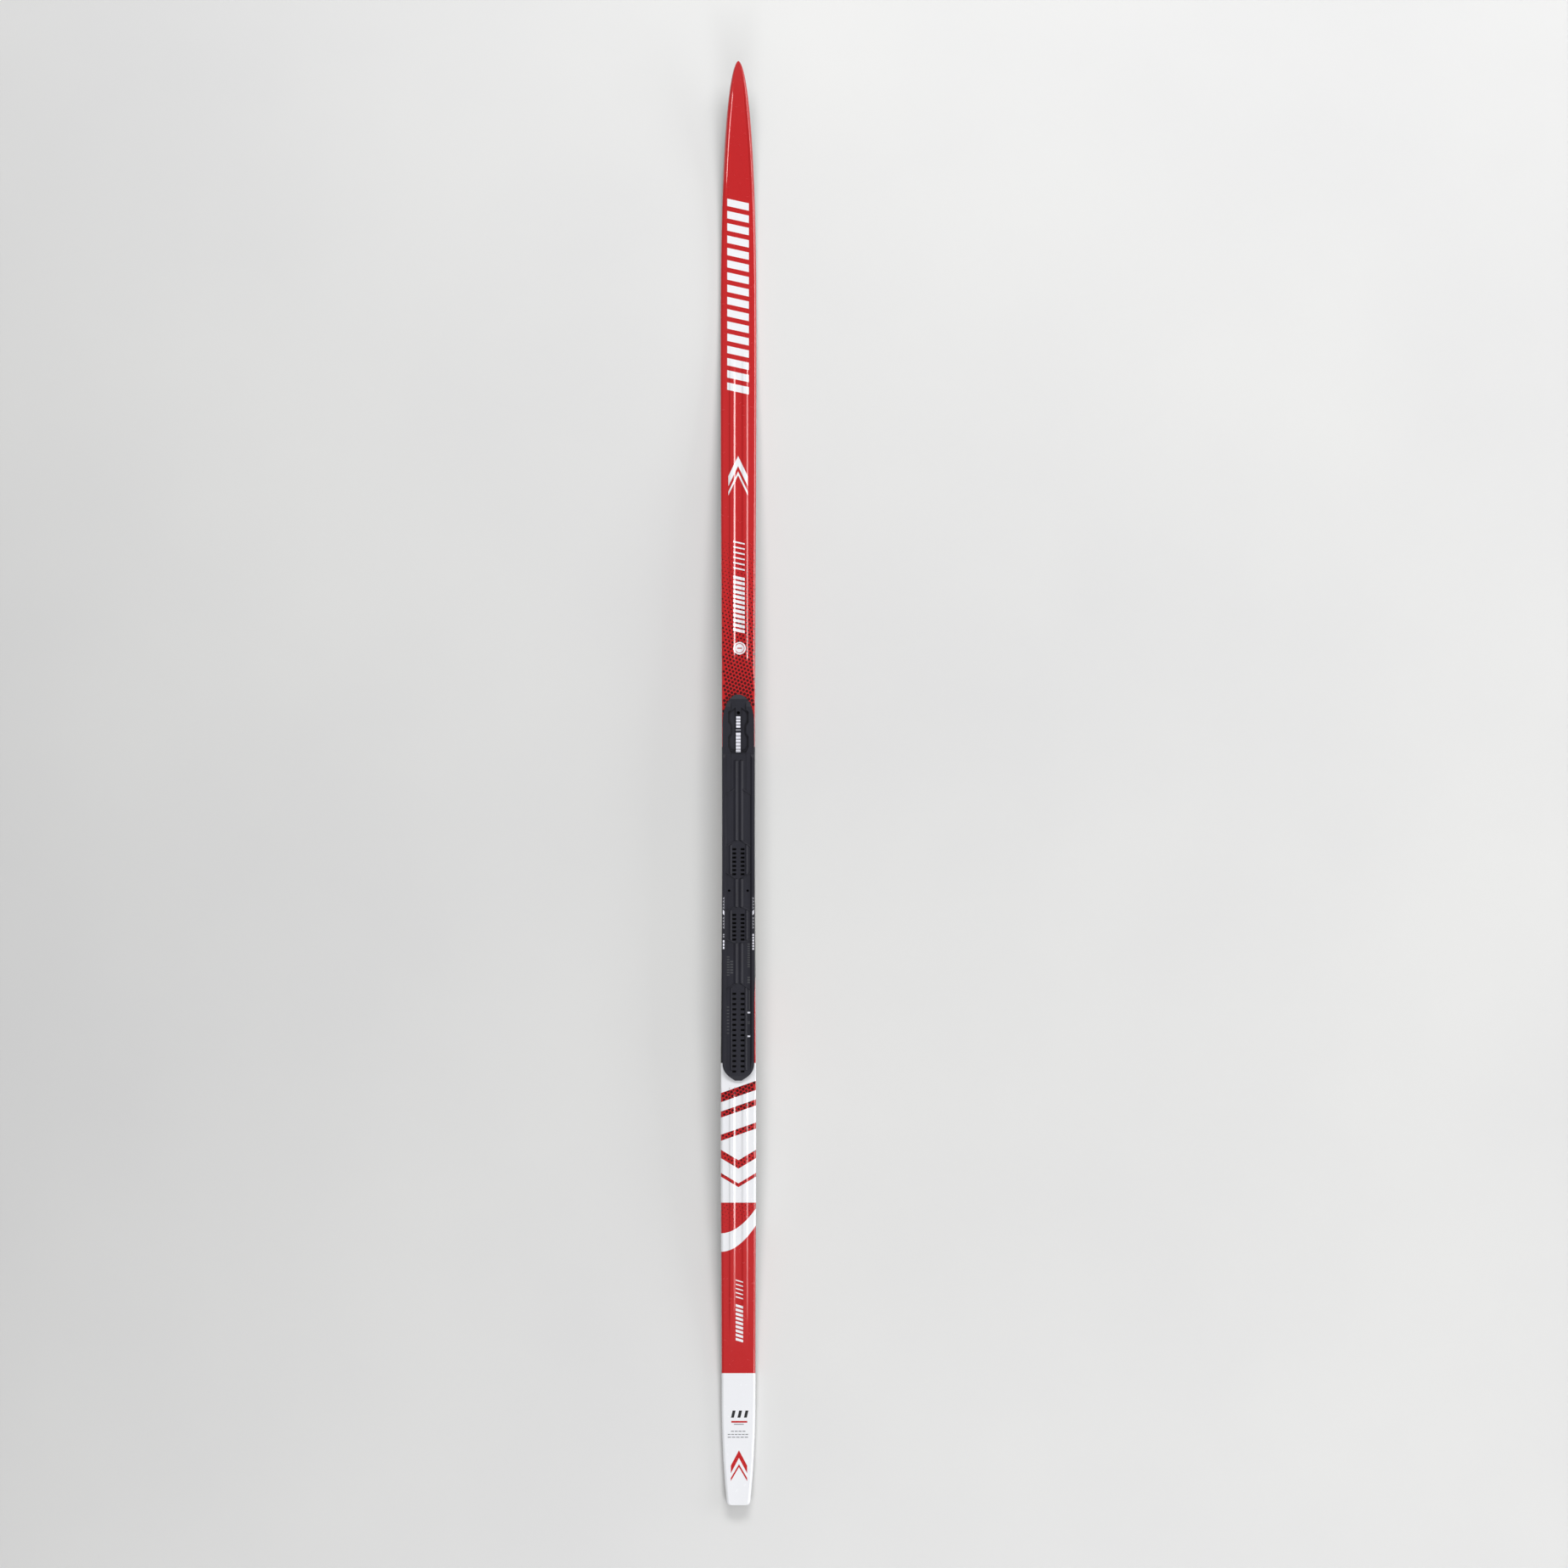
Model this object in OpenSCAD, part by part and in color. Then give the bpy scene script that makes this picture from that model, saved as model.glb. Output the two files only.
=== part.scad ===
// Cross country ski, 187 cm, with a skin insert in its base and a plate for a slide-on binding.
// X runs across the ski, Y along it with the tip at +Y, and Z up.
// The origin is on the floor, under the middle of the ski's length.

/* [Length and height] */
// Length along the floor, from tail to tip
ski_len = 1870; // [1800:10:1950]
// Height of the arch under the plate, with no load on the ski
camber_h = 22; // [15:1:30]
// Height of the base at the tip
tip_rise = 52; // [40:1:65]
// Height of the base at the tail
tail_rise = 7; // [3:1:12]

/* [Outline] */
// Widest place of the shovel
shovel_w = 47.4; // [46:0.1:50]
// Narrowest place, under the front of the plate
waist_w = 42.8; // [42.2:0.1:45]
// Widest place behind the plate
heel_w = 46.6; // [45:0.1:49]
// Width where the tail starts to close in
rear_w = 44.8; // [43:0.1:47]
// Width of the squared tail end
tail_w = 30; // [26:0.5:36]
// Radius of the tail's corners
tail_corner_r = 4; // [2:0.5:6]

/* [Thickness] */
// Thickness under the plate
mid_t = 22; // [18:0.5:26]
// Thickness at the front contact line
shovel_t = 8.4; // [7:0.2:11]
// Thickness at the tip
tip_t = 5; // [4.4:0.2:6]
// Thickness at the rear contact line
heel_t = 9.4; // [8:0.2:12]
// Thickness at the tail
tail_t = 7; // [6:0.2:9]

/* [Layers] */
// Running base of polyethylene
base_t = 1.6; // [1.4:0.1:2]
// Fibre layer under the core
lower_fibre_t = 0.6; // [0.4:0.1:1]
// Fibre cap over the core
upper_fibre_t = 0.8; // [0.6:0.1:1.2]
// Printed topsheet
topsheet_t = 0.6; // [0.4:0.1:0.8]

/* [Relief of the top] */
// Height of the two long ridges beside the centre channel
ridge_h = 1.3; // [0.6:0.1:2]
// Height of the rim around the shovel
rim_h = 0.7; // [0.3:0.1:1]

/* [Base] */
// Width of the guide groove
groove_w = 8; // [6:0.5:10]
// Depth of the guide groove
groove_d = 0.8; // [0.5:0.1:1]
// Length of the skin
skin_len = 400; // [300:10:440]
// Width of the skin
skin_w = 33; // [28:1:34]
// How far the pile stands out of the base
pile_proud = 0.4; // [0.2:0.1:0.6]

/* [Binding plate] */
// Length of the plate
plate_len = 500; // [490:1:510]
// Width of the plate
plate_w = 41; // [40:0.2:41.6]
// Height of its deck
deck_h = 5; // [4.6:0.2:6]
// Height of its side rims
rim_top_h = 7; // [6.4:0.2:8]
// Distance of its front end ahead of the ski's middle
plate_front = 116; // [100:1:130]
// Distance between the two screw holes
screw_spacing = 24; // [22:0.5:26]
// Diameter of the screw holes
screw_d = 3.2; // [2.6:0.1:3.6]
// Diameter of the stop hole in the nose
stop_d = 4.4; // [3.6:0.1:5]

/* [Hidden] */
$fn = 48;

bond = 0.05; // bond line between two layers
eps = 0.01;

// Places along the ski
tip_y = ski_len / 2;
tail_y = -ski_len / 2;
shovel_y = tip_y - 380;
waist_y = -80;
heel_y = -450;
rear_y = tail_y + 145;
front_contact_y = tip_y - 295;
rear_contact_y = tail_y + 95;
plate_rear = plate_front - plate_len;
flat_margin = 6; // the level seat runs this far past both ends of the plate

// Ridges and the rim: where they fade in and out
ridge_front = tip_y - 353;
ridge_rear = tail_y + 200;
ridge_fade_len = 70;
ridge_gap_front = plate_front + 25;
ridge_start_len = 34;
ridge_end_len = 14;
rim_front = tip_y - 12;
rim_rear = tip_y - 190;
rim_fade_len = 50;

// Core
core_front = tip_y - 136;
core_rear = tail_y + 56;
filler_end = 5; // the fillers stop this far short of tip and tail
core_centre_half = 8.4;
channel_w = 2; // air channel between the centre strip and each side strip
strip_w = 3.4; // dense edge strip
reinforcement_t = 2.2;
reinforcement_w = 32;
reinforcement_front = plate_front - flat_margin;
reinforcement_rear = plate_rear + flat_margin;
reinforcement_step = 3;

// Skin and its recess
skin_recess_d = 1.2;
skin_corner_r = 8;
skin_clearance = 0.3;
skin_front = 145;
skin_rear = skin_front - skin_len;
skin_glue_t = 0.2;
skin_cloth_t = 0.4;
groove_front = front_contact_y + 90;
groove_fade_len = 30;

// Plate: distances back from its front end
plate_seat_z = camber_h + mid_t;
plate_glue_t = 0.3;
plate_bottom_z = plate_seat_z + plate_glue_t + bond;
nose_len = 38;
nose_h = 4;
wing_start = 9;
wing_full = 16;
wing_h = deck_h + 0.7;
recess_end = 75;
recess_floor_h = 2.8;
stop_back = 24;
rim_start = 78;
rim_top_half = 18.2;
rim_foot_half = 15.4;
rear_nose_len = 23;
rear_nose_half = 4.2;
ridge_x = 3.5;
centre_ridge_h = 1.3;
rib_h = 0.9;
shelf_x = 10.1;
screw_back = 254;
// Each V rib: distance back at the centre ridges, then at the rims
V_RIBS = [[122, 130], [189, 198], [239, 230], [275, 281], [322, 317], [374, 383]];
// Each stretch with centre ridges
RIDGE_RUNS = [[86, 189], [239, 275], [322, 374]];
// Each rack's side frames: start, end, then inner foot, crest and outer foot across the plate
RACK_FRAMES = [[195, 233, 8.5, 10.3, 12.6], [279.5, 318, 8.5, 10.3, 12.6], [379.5, 486, 8, 9.3, 11.3]];
// Each rack's teeth: first tooth, number of teeth, pitch
RACK_TEETH = [[199, 6, 5.4], [284, 6, 5.3], [386, 15, 6.7]];
tooth_inner = 2.9;
tooth_outer = 7.9;
tooth_gap = 2.8;
tooth_depth = 2.3;
// Hollows under the plate
bay_pitch = 20;
bay_wall = 2;
bay_h = 1.8;
bay_half = 15.5;

// ---- Curves along the ski ----

function mix(a, b, t) = a + (b - a) * t;
function clamp01(t) = min(1, max(0, t));
function smooth(t) = let (u = clamp01(t)) u * u * (3 - 2 * u);
function ramp(from, to, y) = smooth((y - from) / (to - from));

function tail_corner_cut(y) =
    let (d = y - tail_y, r = tail_corner_r)
    d < r ? 2 * (r - sqrt(r * r - pow(r - d, 2))) : 0;

function outline_w(y) =
    y > shovel_y
        ? max(1.6, shovel_w * pow(1 - pow((y - shovel_y) / (tip_y - shovel_y), 2.6), 0.51))
    : y > waist_y ? mix(waist_w, shovel_w, ramp(waist_y, shovel_y, y))
    : y > heel_y ? mix(heel_w, waist_w, ramp(heel_y, waist_y, y))
    : y > rear_y ? mix(rear_w, heel_w, ramp(rear_y, heel_y, y))
    : mix(rear_w, tail_w, pow((rear_y - y) / (rear_y - tail_y), 2.2)) - tail_corner_cut(y);

function base_z(y) =
    y > front_contact_y
        ? tip_rise * pow((y - front_contact_y) / (tip_y - front_contact_y), 2.2)
    : y > 0 ? camber_h * (1 - ramp(plate_front + flat_margin, front_contact_y, y))
    : y > rear_contact_y ? camber_h * ramp(rear_contact_y, plate_rear - flat_margin, y)
    : tail_rise * pow((rear_contact_y - y) / (rear_contact_y - tail_y), 2);

function thickness(y) =
    y > front_contact_y ? mix(shovel_t, tip_t, ramp(front_contact_y, tip_y, y))
    : y > 0 ? mix(mid_t, shovel_t, ramp(plate_front + flat_margin, front_contact_y, y))
    : y > rear_contact_y ? mix(heel_t, mid_t, ramp(rear_contact_y, plate_rear - flat_margin, y))
    : mix(tail_t, heel_t, ramp(tail_y, rear_contact_y, y));

function top_z(y) = base_z(y) + thickness(y);

// 1 under the plate, 0 clear of it
function under_plate(y) =
    ramp(plate_rear - 40, plate_rear, y) * (1 - ramp(plate_front, plate_front + 40, y));

function ridge_share(y) =
    y > 0
        ? ramp(ridge_gap_front, ridge_gap_front + ridge_start_len, y)
            * (1 - ramp(ridge_front - ridge_fade_len, ridge_front, y))
        : ramp(ridge_rear, ridge_rear + ridge_fade_len, y)
            * (1 - ramp(plate_rear - flat_margin - ridge_end_len, plate_rear - flat_margin, y));

function rim_share(y) =
    ramp(rim_rear, rim_rear + rim_fade_len, y) * (1 - ramp(rim_front - rim_fade_len, rim_front, y));

// ---- Rings and lofts ----

function between(from, to, n) = [for (i = [1:n]) mix(from, to, i / n)];

function sorted(v) =
    len(v) < 2 ? v
    : let (p = v[floor(len(v) / 2)])
        concat(sorted([for (x = v) if (x < p) x]), [p], sorted([for (x = v) if (x > p) x]));

// Where the cross-section is set out, from tail to tip
RING_Y = sorted(concat(
    [for (i = [0:8]) tail_y + (rear_y - tail_y) * pow(i / 8, 2)],
    between(rear_y, ridge_rear, 2),
    between(ridge_rear, ridge_rear + ridge_fade_len, 3),
    between(ridge_rear + ridge_fade_len, plate_rear - flat_margin - ridge_end_len, 8),
    [plate_rear - flat_margin, plate_rear],
    [reinforcement_rear - reinforcement_step, reinforcement_rear - bond],
    between(reinforcement_rear, reinforcement_front, 12),
    [reinforcement_front + bond, reinforcement_front + reinforcement_step],
    [plate_front + flat_margin],
    between(ridge_gap_front, ridge_gap_front + ridge_start_len, 2), [ridge_gap_front],
    between(ridge_gap_front + ridge_start_len, ridge_front - ridge_fade_len, 9),
    between(ridge_front - ridge_fade_len, ridge_front, 3),
    [for (i = [0:11]) tip_y - (tip_y - ridge_front) * pow(i / 12, 2)]
));

function rings_from(from, to, all = RING_Y) =
    concat([from], [for (y = all) if (y > from + 1 && y < to - 1) y], [to]);

// Joins closed sections, each a list of [x, y, z] that runs anticlockwise as seen from the tail.
// A ladder section is a chain of points and then its opposite chain back, so its ends are quads.
module loft(sections, ladder = true) {
    n = len(sections[0]);
    last = (len(sections) - 1) * n;
    points = [for (s = sections) each s];
    sides = [
        for (i = [0:len(sections) - 2], j = [0:n - 1])
            let (a = i * n + j, b = i * n + (j + 1) % n)
            each [[a, b, b + n], [a, b + n, a + n]]
    ];
    caps = ladder
        ? [for (j = [0:n / 2 - 2])
            let (a = j, b = j + 1, c = n - 2 - j, d = n - 1 - j)
            each [[c, b, a], [d, c, a], [last + a, last + b, last + c], [last + a, last + c, last + d]]]
        : [[for (j = [n - 1:-1:0]) j], [for (j = [0:n - 1]) last + j]];
    polyhedron(points, concat(caps, sides), convexity = 8);
}

function at(y, section) = [for (p = section) [p[0], y, p[1]]];
function reversed(v) = [for (i = [len(v) - 1:-1:0]) v[i]];
function mirrored(section) = [for (p = reversed(section)) [-p[0], p[1]]];
function rectangle(x0, x1, z0, z1) = [[x0, z0], [x1, z0], [x1, z1], [x0, z1]];

// ---- Cross-sections ----

lower_fibre_z = base_t + bond;
cap_foot_z = lower_fibre_z + lower_fibre_t + bond;
fibre_inset = topsheet_t + bond;
core_inset = fibre_inset + upper_fibre_t + bond;

// Right half of the ski's cap, from its foot to the centre channel, moved inwards by inset.
// relief is 1 for the outer skins and 0 where the surface lies flat.
function cap_half(y, inset, relief) =
    let (
        h = outline_w(y) / 2,
        d = min(inset, 0.6 * h),
        k = (h - d) / h,
        t = top_z(y) - d,
        bevel = min(mix(2.8, 1.1, under_plate(y)), 0.2 * h),
        drop = min(mix(1.8, 0.9, under_plate(y)), 0.3 * thickness(y)),
        rim = t + relief * rim_h * rim_share(y),
        ridge = t + relief * ridge_h * ridge_share(y)
    )
    [
        [k * h, base_z(y) + cap_foot_z],
        [k * (h - min(0.5, 0.05 * h)), t - drop + 0.4 * d],
        [k * (h - bevel), rim],
        [k * (h - min(4.5, 0.32 * h)), rim],
        [k * (h - min(5.6, 0.4 * h)), t],
        [k * min(12.5, 0.57 * h), t],
        [k * min(10.5, 0.48 * h), ridge],
        [k * min(6.3, 0.29 * h), ridge],
        [k * min(3.7, 0.17 * h), t]
    ];

function cap_arch(y, inset, relief) =
    let (half = cap_half(y, inset, relief))
    concat(half, [[0, top_z(y) - min(inset, 0.3 * outline_w(y))]], mirrored(half));

function core_top_z(y) =
    top_z(y) - core_inset
    - (reinforcement_t + bond)
        * clamp01((y - reinforcement_rear + reinforcement_step) / (reinforcement_step - bond))
        * clamp01((reinforcement_front + reinforcement_step - y) / (reinforcement_step - bond));

// Inner face of the edge strips
function strip_x(y) = outline_w(y) / 2 - core_inset - strip_w;

// Half width of the centre strip, which leaves air channels ahead of and behind the plate
function centre_half(y) =
    core_centre_half - channel_w
        * (ramp(170, 200, y) * (1 - ramp(520, 550, y))
            + ramp(-720, -690, y) * (1 - ramp(-450, -420, y)));

// Half width at y of a strip with rounded corners that runs from y0 to y1
function strip_half(y, y0, y1, w, r) =
    let (d = clamp01(min(y - y0, y1 - y) / r) * r)
    w / 2 - (r - sqrt(r * r - pow(r - d, 2)));

function round_end(y_end, dir, r) = [for (a = [0, 30, 60, 90]) y_end + dir * r * (1 - cos(a))];

SKIN_RINGS = sorted(concat(
    round_end(skin_rear, 1, skin_corner_r), round_end(skin_front, -1, skin_corner_r)
));
RECESS_RINGS = concat(
    [skin_rear - 2 * skin_clearance], round_end(skin_rear - skin_clearance, 1, skin_corner_r),
    round_end(skin_front + skin_clearance, -1, skin_corner_r), [skin_front + 2 * skin_clearance]
);

function recess_depth(y) =
    y > skin_rear - 1.5 * skin_clearance && y < skin_front + 1.5 * skin_clearance
        ? skin_recess_d : 0;

function groove_depth(y) =
    groove_d * (1 - ramp(groove_front - groove_fade_len, groove_front, y))
        * (1 - ramp(skin_rear - groove_fade_len, skin_rear - 2 * skin_clearance, y)
            * (1 - ramp(skin_front + 2 * skin_clearance, skin_front + groove_fade_len, y)));

function base_section(y) =
    let (
        z = base_z(y),
        h = outline_w(y) / 2,
        recess = min(
            strip_half(y, skin_rear - skin_clearance, skin_front + skin_clearance,
                skin_w + 2 * skin_clearance, skin_corner_r),
            0.8 * h
        ),
        recess_z = z + recess_depth(y),
        groove_z = recess_z + groove_depth(y),
        mouth = min(groove_w / 2, 0.5 * h),
        half = [
            [0.8 * mouth, groove_z], [mouth, recess_z], [recess, recess_z],
            [recess + 0.1 * min(2, h), z], [h, z]
        ],
        under = concat(mirrored(half), half)
    )
    concat(under, [for (p = reversed(under)) [p[0], z + base_t]]);

// ---- Laminate ----

module topsheet() {
    color("#c22a2e") loft([
        for (y = RING_Y)
            at(y, concat(cap_arch(y, 0, 1), reversed(cap_arch(y, topsheet_t, 1))))
    ]);
}

module upper_laminate() {
    color("#3c4046") loft([
        for (y = rings_from(tail_y + 1, tip_y - 3))
            at(y, concat(
                cap_arch(y, fibre_inset, 1),
                reversed(cap_arch(y, fibre_inset + upper_fibre_t, 0))
            ))
    ]);
}

module core_centre() {
    color("#d9b98a") loft([
        for (y = rings_from(core_rear, core_front))
            let (c = centre_half(y))
            at(y, rectangle(-c, c, base_z(y) + cap_foot_z, core_top_z(y)))
    ]);
}

// side is 1 for the right and -1 for the left
module core_side(side) {
    color("#cfa872") scale([side, 1, 1]) loft([
        for (y = rings_from(core_rear, core_front))
            at(y, rectangle(core_centre_half + bond, strip_x(y) - bond,
                base_z(y) + cap_foot_z, core_top_z(y)))
    ]);
}

module edge_strip(side) {
    color("#8a5a34") scale([side, 1, 1]) loft([
        for (y = rings_from(core_rear, core_front))
            let (cap = cap_half(y, core_inset, 0), x = strip_x(y))
            at(y, [[x, cap[0][1]], cap[0], cap[1], cap[2], [x, cap[2][1]]])
    ], ladder = false);
}

module binding_reinforcement() {
    color("#6d7a56")
        translate([-reinforcement_w / 2, reinforcement_rear, plate_seat_z - core_inset - reinforcement_t])
            cube([reinforcement_w, reinforcement_front - reinforcement_rear, reinforcement_t - bond]);
}

module filler(from, to) {
    color("#4a4d52")
        loft([for (y = rings_from(from, to)) at(y, cap_arch(y, core_inset, 0))], ladder = false);
}

module lower_laminate() {
    color("#4b5057") loft([
        for (y = rings_from(tail_y + 0.5, tip_y - 1))
            let (h = outline_w(y) / 2 - 0.1, z = base_z(y) + lower_fibre_z)
            at(y, rectangle(-h, h, z, z + lower_fibre_t))
    ]);
}

// ---- Base and skin ----

module base_sheet() {
    color("#1b1b1e") loft([for (y = sorted(concat(RING_Y, RECESS_RINGS))) at(y, base_section(y))]);
}

// A layer of the skin between two heights over the base's running face
module skin_layer(z0, z1) {
    loft([
        for (y = rings_from(skin_rear, skin_front, sorted(concat(RING_Y, SKIN_RINGS))))
            let (h = strip_half(y, skin_rear, skin_front, skin_w, skin_corner_r))
            at(y, rectangle(-h, h, base_z(y) + z0, base_z(y) + z1))
    ]);
}

module skin_adhesive() {
    color("#d8d2b8") skin_layer(skin_recess_d - skin_glue_t, skin_recess_d - 2 * eps);
}

module skin_backing() {
    top = skin_recess_d - skin_glue_t - 2 * eps;
    color("#3a3a3e") skin_layer(top - skin_cloth_t, top);
}

module skin_pile() {
    top = skin_recess_d - skin_glue_t - skin_cloth_t - 4 * eps;
    color("#8d8a86") skin_layer(-pile_proud, top);
}

// ---- Binding plate ----

function back(d) = plate_front - d;

// Plan of the plate, made smaller all round by inset
module plate_plan(inset) {
    half = plate_w / 2;
    nose = [for (i = [0:14]) let (s = pow(i / 14, 1.8)) [half * sqrt(1 - pow(1 - s, 2.1)), s * nose_len]];
    rear = [
        for (i = [0:8])
            [half - (half - rear_nose_half) * pow(i / 8, 2.5),
                plate_len - rear_nose_len * (1 - i / 8)]
    ];
    right = concat(nose, rear);
    centre_y = back(plate_len / 2);
    translate([0, centre_y])
        scale([1 - inset / half, 1 - 2 * inset / plate_len])
            translate([0, -centre_y])
                polygon([
                    for (p = concat(right, [for (q = reversed(right)) if (q[0] > 0) [-q[0], q[1]]]))
                        [p[0], back(p[1])]
                ]);
}

// Side view of the plate, extruded over its width
module plate_side_view() {
    rotate([90, 0, 90])
        linear_extrude(plate_w + 2, center = true)
            polygon([
                [back(-1), 0], [back(-1), 1], [back(6), nose_h], [back(wing_start), nose_h],
                [back(wing_full), wing_h], [back(rim_start), wing_h], [back(rim_start + 4), rim_top_h],
                [back(plate_len - 26), rim_top_h], [back(plate_len - 6), nose_h],
                [back(plate_len + 1), 2], [back(plate_len + 1), 0]
            ]);
}

module box_between(x0, x1, back0, back1, z0, z1) {
    translate([x0, back(back1), z0]) cube([x1 - x0, back1 - back0, z1 - z0]);
}

module both_sides() {
    children();
    mirror([1, 0, 0]) children();
}

// Everything above the deck between the rims, to be cut away
module deck_space() {
    translate([0, back(rim_start - 2), 0])
        rotate([90, 0, 0])
            linear_extrude(plate_len)
                polygon([
                    [-rim_foot_half, deck_h], [rim_foot_half, deck_h],
                    [rim_top_half, rim_top_h + 1], [-rim_top_half, rim_top_h + 1]
                ]);
}

// Hollow between the wings, with two wide bays joined by a narrower neck
module nose_recess() {
    right = [[10, -2], [10, 20], [13.2, 23], [13.2, 36], [10, 41], [10, 50], [13.2, 55],
        [13.2, 68], [10, recess_end]];
    translate([0, 0, nose_h])
        linear_extrude(rim_top_h)
            polygon([for (p = concat(right, [for (q = reversed(right)) [-q[0], q[1]]])) [p[0], back(p[1])]]);
    both_sides()
        translate([0, 0, recess_floor_h])
            linear_extrude(rim_top_h)
                polygon([for (p = [[3.7, 17], [8.6, 21], [11.8, 24], [11.8, 35], [8.6, 40.5],
                    [8.6, 50.5], [11.8, 56], [11.8, 67], [8.6, 72], [3.7, 73.5]]) [p[0], back(p[1])]]);
}

module centre_ridges(run) {
    both_sides()
        translate([ridge_x, back(run[0]), deck_h - eps])
            rotate([90, 0, 0])
                linear_extrude(run[1] - run[0])
                    polygon([[-2.8, 0], [2.8, 0], [0.4, centre_ridge_h], [-0.4, centre_ridge_h]]);
}

// A rib with sloping sides, from the centre ridges to the rim
module v_rib(v) {
    outer = rim_foot_half + 1.4;
    foot = 1.6;
    crest = 0.3;
    points = [
        for (level = [[foot, deck_h - eps], [crest, deck_h + rib_h]],
                p = [[ridge_x, v[0] - level[0]], [outer, v[1] - level[0]],
                    [outer, v[1] + level[0]], [ridge_x, v[0] + level[0]]])
            [p[0], back(p[1]), level[1]]
    ];
    faces = [[3, 2, 1, 0], [4, 5, 6, 7], [0, 1, 5, 4], [1, 2, 6, 5], [2, 3, 7, 6], [3, 0, 4, 7]];
    both_sides() polyhedron(points, faces);
}

module rack_frame(run) {
    both_sides()
        translate([0, back(run[0]), deck_h - eps])
            rotate([90, 0, 0])
                linear_extrude(run[1] - run[0])
                    polygon([[run[2], 0], [run[4], 0], [run[3] + 0.3, rib_h], [run[3] - 0.3, rib_h]]);
}

// Raised shelf beside the front ridges, as far as the first V rib
module front_shelves() {
    both_sides()
        translate([0, 0, deck_h - eps])
            linear_extrude(0.5)
                polygon([for (p = [[shelf_x, rim_start - 2], [rim_foot_half + 0.4, rim_start - 2],
                    [rim_foot_half + 0.4, V_RIBS[0][1]], [shelf_x, mix(V_RIBS[0][0], V_RIBS[0][1], 0.5)]])
                    [p[0], back(p[1])]]);
}

module rack_teeth(rack) {
    for (i = [0:rack[1]], side = [-1, 1]) {
        start = rack[0] + i * rack[2];
        translate([side * (tooth_inner + tooth_outer) / 2, back(start + tooth_gap / 2), deck_h])
            cube([tooth_outer - tooth_inner, tooth_gap, 2 * tooth_depth], center = true);
    }
}

module screw_holes() {
    for (side = [-1, 1])
        translate([side * screw_spacing / 2, back(screw_back), 1])
            cylinder(d = screw_d, h = rim_top_h);
}

// Ribbed underside: rows of hollows either side of a centre spine
module underside_bays() {
    for (b = [90:bay_pitch:plate_len - 60])
        if (abs(b + bay_pitch / 2 - screw_back) > bay_pitch)
            both_sides()
                box_between(bay_wall / 2, bay_half, b, b + bay_pitch - bay_wall, -1, bay_h);
}

// Undercut along both edges that the binding's hooks run in
module rail_grooves() {
    both_sides()
        box_between(plate_w / 2 - 1.4, plate_w / 2 + 1, 42, plate_len - 30, 1.6, 3.2);
}

module binding_plate() {
    color("#2d2e32") translate([0, 0, plate_bottom_z]) {
        difference() {
            union() {
                difference() {
                    intersection() {
                        linear_extrude(rim_top_h) plate_plan(0);
                        plate_side_view();
                    }
                    deck_space();
                    nose_recess();
                }
                for (run = RIDGE_RUNS) centre_ridges(run);
                for (v = V_RIBS) v_rib(v);
                for (run = RACK_FRAMES) rack_frame(run);
                front_shelves();
            }
            for (rack = RACK_TEETH) rack_teeth(rack);
            screw_holes();
            translate([0, back(stop_back), 1]) cylinder(d = stop_d, h = rim_top_h);
            underside_bays();
            rail_grooves();
        }
    }
}

module plate_adhesive() {
    color("#c9c6b4")
        translate([0, 0, plate_seat_z + bond / 2])
            linear_extrude(plate_glue_t) plate_plan(1);
}

topsheet();
upper_laminate();
core_centre();
core_side(-1);  // core_left
core_side(1);  // core_right
edge_strip(-1);  // edge_strip_left
edge_strip(1);  // edge_strip_right
binding_reinforcement();
filler(core_front + bond, tip_y - filler_end);  // tip_filler
filler(tail_y + filler_end, core_rear - bond);  // tail_filler
lower_laminate();
base_sheet();
skin_adhesive();
skin_backing();
skin_pile();
plate_adhesive();
binding_plate();
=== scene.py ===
"""A cross country ski, 187 cm long, lying on a pale floor and seen from above.

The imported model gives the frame. X runs across the ski, Y along it with the tip at +Y, Z up.
Lengths are in millimetres and become metres where a mesh is made.
"""

import math

import bmesh
import bpy
import numpy as np
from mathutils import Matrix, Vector


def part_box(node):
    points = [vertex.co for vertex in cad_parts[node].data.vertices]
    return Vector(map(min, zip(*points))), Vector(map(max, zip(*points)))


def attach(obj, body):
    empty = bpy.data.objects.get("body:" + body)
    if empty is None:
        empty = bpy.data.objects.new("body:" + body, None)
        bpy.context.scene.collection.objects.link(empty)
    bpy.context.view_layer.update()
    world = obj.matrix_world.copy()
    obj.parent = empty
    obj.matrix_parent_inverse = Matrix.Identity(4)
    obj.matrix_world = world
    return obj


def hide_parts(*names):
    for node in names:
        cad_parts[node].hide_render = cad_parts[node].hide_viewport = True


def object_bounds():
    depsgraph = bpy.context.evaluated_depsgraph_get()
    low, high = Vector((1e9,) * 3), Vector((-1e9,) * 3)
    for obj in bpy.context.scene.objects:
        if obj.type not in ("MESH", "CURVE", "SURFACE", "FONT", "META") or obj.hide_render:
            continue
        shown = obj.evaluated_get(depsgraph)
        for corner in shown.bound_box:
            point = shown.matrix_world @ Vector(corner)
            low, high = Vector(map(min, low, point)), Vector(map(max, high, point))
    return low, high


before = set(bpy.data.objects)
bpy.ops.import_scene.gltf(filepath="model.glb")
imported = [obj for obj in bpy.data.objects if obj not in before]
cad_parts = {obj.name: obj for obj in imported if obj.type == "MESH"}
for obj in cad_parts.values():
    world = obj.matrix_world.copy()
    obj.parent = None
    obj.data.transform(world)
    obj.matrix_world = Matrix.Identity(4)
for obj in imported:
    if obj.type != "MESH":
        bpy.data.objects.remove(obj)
cad_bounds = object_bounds()

MM = 0.001


def millimetres(box):
    """A box's two corners, from metres to millimetres."""
    return box[0] / MM, box[1] / MM


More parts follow.
